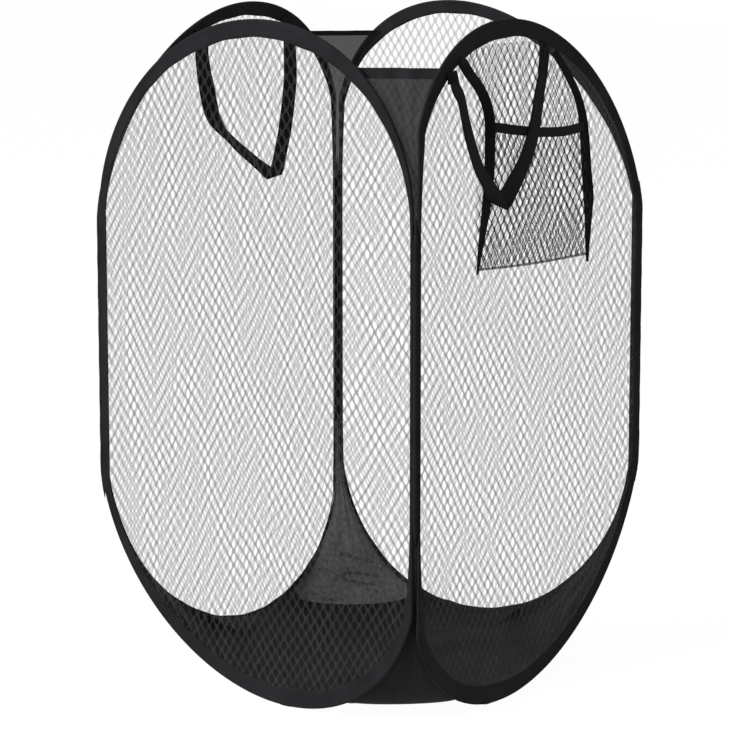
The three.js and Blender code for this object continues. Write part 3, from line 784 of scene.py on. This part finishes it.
# Half of a band's outline, in half widths and in thicknesses
HALF_BAND = [(-1, -0.3), (-0.97, -0.5), (-0.5, -0.5), (0, -0.5), (0.5, -0.5), (0.97, -0.5),
             (1, -0.3)]
BAND = HALF_BAND + [(-a, -b) for a, b in HALF_BAND]


def spline(points, count):
    """A smooth curve through points (Catmull-Rom by chord), evenly spaced."""
    points = np.asarray(points, float)
    ends = np.concatenate([[2 * points[0] - points[1]], points, [2 * points[-1] - points[-2]]])
    fine = []
    for p0, p1, p2, p3 in zip(ends, ends[1:], ends[2:], ends[3:]):
        for t in np.linspace(0, 1, 24, endpoint=False):
            fine.append(
                0.5 * (2 * p1 + (p2 - p0) * t + (2 * p0 - 5 * p1 + 4 * p2 - p3) * t**2
                       + (3 * p1 - p0 - 3 * p2 + p3) * t**3)
            )
    fine = np.array(fine + [points[-1]])
    step = np.concatenate([[0], np.cumsum(np.linalg.norm(np.diff(fine, axis=0), axis=1))])
    at = np.linspace(0, step[-1], count)
    return np.stack([np.interp(at, step, fine[:, k]) for k in range(fine.shape[1])], -1)


def ribbon(name, panel, path, width, thickness, turn, material=None, fold=None):
    """A flat band along path (across, out, up); turn tilts it from the panel's plane, degrees.

    fold is half the crease, as a vector, that the band's last rows turn to.
    """
    count = len(path)
    tangent = np.gradient(path, axis=0)
    tangent /= np.linalg.norm(tangent, axis=1, keepdims=True)
    out = np.array([0.0, 1.0, 0.0])
    side = np.cross(out, tangent)
    side /= np.linalg.norm(side, axis=1, keepdims=True)
    face = np.cross(tangent, side)
    turn = np.radians(np.broadcast_to(turn, count))[:, None]
    wide = (side * np.cos(turn) + face * np.sin(turn)) * np.broadcast_to(width, count)[:, None] / 2
    thick = (-side * np.sin(turn) + face * np.cos(turn)) * thickness
    if fold is not None:
        near = smooth((np.arange(count) - count + 1) / 9 + 1)[:, None]
        wide = wide * (1 - near) + np.array(fold) * near
        thick = thick * (1 - near) + out * thickness * near
    sections = np.stack([path + wide * a + thick * b for a, b in BAND], 1)
    world = to_world(panel, sections[..., 0], sections[..., 1], sections[..., 2])
    length = np.concatenate([[0], np.cumsum(np.linalg.norm(np.diff(path, axis=0), axis=1))]) / 1000
    girth = np.array([a for a, _ in BAND]) * float(np.max(width)) / 2000
    uvs = np.stack(np.meshgrid(length, girth, indexing="ij")[::-1], -1)
    obj = sweep(name, world, uvs=uvs)
    dress(obj, material or WEBBING)
    return obj


def joined(name, pieces):
    """One object of several closed meshes."""
    work = bmesh.new()
    for piece in pieces:
        work.from_mesh(piece.data)
    mesh = bpy.data.meshes.new(name)
    work.to_mesh(mesh)
    work.free()
    obj = bpy.data.objects.new(name, mesh)
    collection.objects.link(obj)
    for piece in pieces:
        bpy.data.objects.remove(piece)
    return dress(shade(obj), WEBBING)


def build_handle(side, strands_of, width, fold):
    """A strap of two strands, each from its sewn end down to the crease at the tip."""
    pieces = []
    for number, (points, turns) in enumerate(strands_of):
        path = spline(points, 60)
        turn = np.interp(np.linspace(0, 1, 60), np.linspace(0, 1, len(turns)), turns)
        pieces.append(ribbon(f"{side}_strand_{number}", side, path, width, WEBBING_THICKNESS, turn,
                             fold=fold))
    strap = joined(f"{side}_handle_webbing", pieces)
    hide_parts(f"{side}_handle_strap")
    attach(strap, f"{side}_handle")


def build_right_handle():
    first = [(-133.5, 8.0, 560.6), (-132, 8.8, 555), (-127.5, 11.3, 544.8), (-124, 13.5, 525.8),
             (-118, 14.4, 508.4), (-108, 15.0, 488), (-98.6, 15.1, 476), (-87.5, 15.2, 464),
             (-75, 15.9, 449.3)]
    second = [(1.5, 8.0, 560.6), (-1, 8.8, 555), (-8.5, 11.3, 542.5), (-15.8, 13.5, 526.2),
              (-22, 14.4, 510), (-29.5, 14.9, 495.8), (-40, 15.1, 481.3), (-52.8, 15.2, 467.8),
              (-64, 15.1, 457), (-75, 14.7, 449.3)]
    build_handle("right", [
        (first, [15, 16, 16, 16, 14, 14, 14, 14, 16, 8, -2, -10]),
        (second, [8, 6, 4, 4, 2, 0, -2, -2, -6, -10, -12, -12]),
    ], 17.5, (-12.8, 0, 4.4))
    # Path, widths at its two ends, and turn
    ends = {
        "first": ([(-133.6, 7.3, 558.9), (-134, 7.0, 563), (-135.5, 6.7, 569)], (12, 10.5), 15),
        "second": ([(1.7, 7.3, 558.9), (4.5, 6.4, 566), (8.5, 4.6, 578), (11, 2.3, 586),
                    (12, 2.2, 594)], (12, 15.5), 8 * np.linspace(1, 0, TAB_ROWS)),
    }
    for word, (points, widths, turn) in ends.items():
        tab = ribbon(f"right_handle_{word}_sewn_end", "right", spline(points, TAB_ROWS),
                     np.linspace(*widths, TAB_ROWS), WEBBING_THICKNESS, turn)
        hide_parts(f"right_handle_{word}_tab")
        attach(tab, BODY["right"])


def build_left_handle():
    width = 17.0
    first = [(33, -2.4, 579), (36.5, -3.4, 566), (35.4, -4.6, 548), (32, -5.2, 532),
             (28.3, -5.5, 517), (22.5, -5.6, 503.3), (8.7, -5.7, 489.4), (-7, -5.7, 476.4),
             (-31, -5.7, 460.8), (-54, -5.7, 446.3), (-69.7, -5.7, 438.4)]
    second = [(-97, -2.4, 579), (-97, -3.0, 563.7), (-97, -3.7, 535), (-93.6, -4.0, 512),
              (-87.7, -4.1, 483.7), (-80.5, -4.2, 461.2), (-75.5, -4.3, 447), (-69.7, -4.5, 438.4)]
    build_handle("left", [
        (first, [0, -6, -10, -18, -14, 12, 36, 34, 33, 31, 28, 26]),
        (second, [0, -6, -8, -8, -6, -4]),
    ], width, (-12.0, 0, 1.5))
    for word, across, up in (("first", -97, 593.0), ("second", 33, 588.2)):
        points = [(across, -1.5, 577.6), (across, -1.2, 581), (across + 0.6, -0.85, up)]
        tab = ribbon(f"left_handle_{word}_sewn_end", "left", spline(points, 12), width,
                     WEBBING_THICKNESS, 0)
        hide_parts(f"left_handle_{word}_tab")
        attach(tab, BODY["left"])


# Pocket

POCKET_FOOT = 394.0
POCKET_TOP = 512
FRONT_TAPE = [(-122, 577), (-111.5, 566), (-99, 555), (-87.8, 540.6), (-82.6, 525.2), (-82.6, 506),
              (-83.3, 478.6), (-86.8, 451.2), (-91.3, 430.8), (-95.8, 410.4), (-98, 392)]
REAR_TAPE = [(20, 577), (38, 559), (55, 538), (64, 517.3), (67.6, 494), (72, 465), (75.6, 442.8),
             (75.8, 421), (76.2, 399), (77.5, 384)]
# Heights and widths of the two tapes, which end in points
TAPE_WIDTHS = {
    "front": ([392, 400, 408, 430, 452, 500, 577], [1.0, 2.4, 3.6, 6.0, 8.0, 9.3, 9.0]),
    "rear": ([384, 400, 423, 445, 468, 497, 541, 577], [1.6, 3.8, 6.6, 9.8, 9.0, 8.6, 6.8, 6.5]),
}
TAPE_TURNS = {
    "front": ([392, 430, 520, 577], [-25, -42, -42, -30]),
    "rear": ([385, 430, 520, 577], [-20, -42, -42, -10]),
}


def tape_at(tape, up):
    return np.interp(up, [z for _, z in tape[::-1]], [u for u, _ in tape[::-1]])


def build_pocket():
    def tape_out(up):
        return OUTER + np.interp(up, [384, 410, 500, 577], [3.4, 4.8, 5.8, 3.4])

    for word, tape in (("front", FRONT_TAPE), ("rear", REAR_TAPE)):
        line = spline([(u, tape_out(z), z) for u, z in tape], 70)
        widths = np.interp(line[:, 2], *TAPE_WIDTHS[word])
        turns = np.interp(line[:, 2], *TAPE_TURNS[word])
        band = ribbon(f"pocket_{word}_edge_tape", "right", line, widths, 2.0, turns)
        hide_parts(f"pocket_{word}_tape")
        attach(band, BODY["right"])
    ends = [tape_at(FRONT_TAPE, 514) + 2, tape_at(REAR_TAPE, 514) - 2]
    across = np.linspace(ends[0], ends[1], 60)
    t = np.linspace(0, 1, 60)
    up = np.interp(t, [0, 0.15, 0.5, 0.8, 1], [519, 515, 508.5, 506, 508.5])
    up = np.convolve(np.pad(up, 6, mode="edge"), np.full(13, 1 / 13), mode="valid")
    out = OUTER + 7.2 + 0.8 * np.sin(math.pi * t)
    hem = ribbon("pocket_hem_tape", "right", np.stack([across, out, up], -1), 8.6, 1.6, 0)
    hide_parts("pocket_hem")
    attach(hem, BODY["right"])
    seam_ends = [tape_at(FRONT_TAPE, POCKET_FOOT) + 1, tape_at(REAR_TAPE, POCKET_FOOT) - 1]

    def foot_at(across):
        way = np.clip((across - seam_ends[0]) / (seam_ends[1] - seam_ends[0]), 0, 1)
        return POCKET_FOOT + 1.0 - 4.5 * way - 1.6 * np.sin(math.pi * way)

    across = np.linspace(seam_ends[0], seam_ends[1], 60)
    path = np.stack([across, OUTER + 3 + 0 * t, foot_at(across) + 0.9], -1)
    seam = ribbon("pocket_lower_seam", "right", path, 2.2, 1.0, 0, POCKET_NET)
    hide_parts("pocket_bottom_seam")
    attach(seam, BODY["right"])

    def back_inside(across, up):
        top = 590 - 0.0011 * (across + 45) ** 2
        return ((across > tape_at(FRONT_TAPE, up)) & (across < tape_at(REAR_TAPE, up))
                & (up < top) & (up > foot_at(across) + 1))

    def front_inside(across, up):
        return ((across > tape_at(FRONT_TAPE, up) + 1) & (across < tape_at(REAR_TAPE, up) - 1)
                & (up < POCKET_TOP) & (up > foot_at(across)))

    def front_out(across, up):
        height = np.clip((up - POCKET_FOOT) / (POCKET_TOP - POCKET_FOOT), 0, 1)
        bulge = np.sin(math.pi * height * 0.82) ** 0.8
        ripple = np.sin(across / 9.0 + up / 60.0) + 0.6 * np.sin(across / 5.3 - up / 33.0)
        return OUTER + 2.6 + 5.2 * bulge + 0.5 * ripple * bulge

    for name, inside, out, seed in (
        ("back", back_inside, lambda a, u: OUTER + 0.8 + 0 * u, 77),
        ("front", front_inside, front_out, 78),
    ):
        columns = np.arange(-30, 20) * PITCH + 1.7
        points, faces = strands(
            "right", columns, lambda a: between_crossings(inside, a, 380, 596), out, seed,
            width=0.95, sag=0.0 if name == "back" else 0.6,
        )
        obj = shade(make(f"pocket_{name}_mesh", points, faces))
        dress(obj, POCKET_NET)
        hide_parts(f"pocket_{name}_net")
        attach(obj, BODY["right"])


for index, panel in enumerate(PANELS):
    net = build_net(panel, 10 + index)
    binding = build_binding(panel, 20 + index)
for index, corner in enumerate(CORNERS):
    build_corner(corner, 40 + index)
    build_seam(corner, 60 + index)
for index, panel in enumerate(PANELS):
    quarter = build_floor(panel, index)
    declare_cloth(quarter, *FLOOR_QUARTER_FLAT, ["stage_floor"], [])
    flatten(quarter, panel)
for piece, panel in TO_FLATTEN:
    flatten(piece, panel)
build_right_handle()
build_left_handle()
build_pocket()

# Camera, lights and floor, as in the photograph

AZIMUTH, ELEVATION, DISTANCE = math.radians(36.81), math.radians(9.49), 2.7945
AIM = (0, 0, 0.3)
back = Vector((math.sin(AZIMUTH) * math.cos(ELEVATION), -math.cos(AZIMUTH) * math.cos(ELEVATION),
               math.sin(ELEVATION)))
camera_data = bpy.data.cameras.new("camera")
camera_data.lens = 147.86
camera_data.sensor_width = 36.0
camera_data.shift_x = -0.01056
camera_data.shift_y = -0.0301
camera_data.clip_end = 50
camera = bpy.data.objects.new("camera", camera_data)
camera.location = Vector(AIM) + back * DISTANCE
camera.rotation_euler = back.to_track_quat("Z", "Y").to_euler()
collection.objects.link(camera)
bpy.context.scene.camera = camera


def seen_strength(tree, seen, otherwise):
    """A strength for camera, glossy and transmission rays, and a lower one that lights."""
    ray = add(tree, "ShaderNodeLightPath")
    first = add(tree, "ShaderNodeMath", operation="MAXIMUM")
    second = add(tree, "ShaderNodeMath", operation="MAXIMUM")
    strength = add(tree, "ShaderNodeMath", operation="MULTIPLY_ADD")
    tree.links.new(ray.outputs["Is Camera Ray"], first.inputs[0])
    tree.links.new(ray.outputs["Is Glossy Ray"], first.inputs[1])
    tree.links.new(first.outputs[0], second.inputs[0])
    tree.links.new(ray.outputs["Is Transmission Ray"], second.inputs[1])
    tree.links.new(second.outputs[0], strength.inputs[0])
    strength.inputs[1].default_value = seen - otherwise
    strength.inputs[2].default_value = otherwise
    return strength.outputs[0]


world = bpy.data.worlds.new("world")
bpy.context.scene.world = world
world.use_nodes = True
background = world.node_tree.nodes["Background"]
background.inputs["Color"].default_value = (1, 1, 1, 1)
world.node_tree.links.new(seen_strength(world.node_tree, 1.0, 0.36), background.inputs["Strength"])


def light(name, place, power):
    data = bpy.data.lights.new(name, "AREA")
    data.shape = "SQUARE"
    data.size = 1.6
    data.energy = power
    obj = bpy.data.objects.new(name, data)
    obj.location = place
    obj.rotation_euler = (Vector(place) - Vector(AIM)).to_track_quat("Z", "Y").to_euler()
    collection.objects.link(obj)


light("key", (-1.4, -3.2, 2.0), 165)
light("fill", (2.8, -1.8, 1.6), 4)

floor_mesh = make("stage_floor", [(-9, -9, -0.0005), (9, -9, -0.0005), (9, 9, -0.0005),
                                  (-9, 9, -0.0005)], [[0, 1, 2, 3]])
floor_material, floor_tree, floor_shader = nodes_of("stage_floor")
floor_shader.inputs["Base Color"].default_value = (0.06, 0.06, 0.06, 1)
floor_shader.inputs["Roughness"].default_value = 0.9
floor_shader.inputs["Specular IOR Level"].default_value = 0.0
floor_shader.inputs["Emission Color"].default_value = (1, 1, 1, 1)
floor_tree.links.new(seen_strength(floor_tree, 0.97, 0.3), floor_shader.inputs["Emission Strength"])
floor_mesh.data.materials.append(floor_material)

bpy.context.scene.view_settings.view_transform = "Standard"
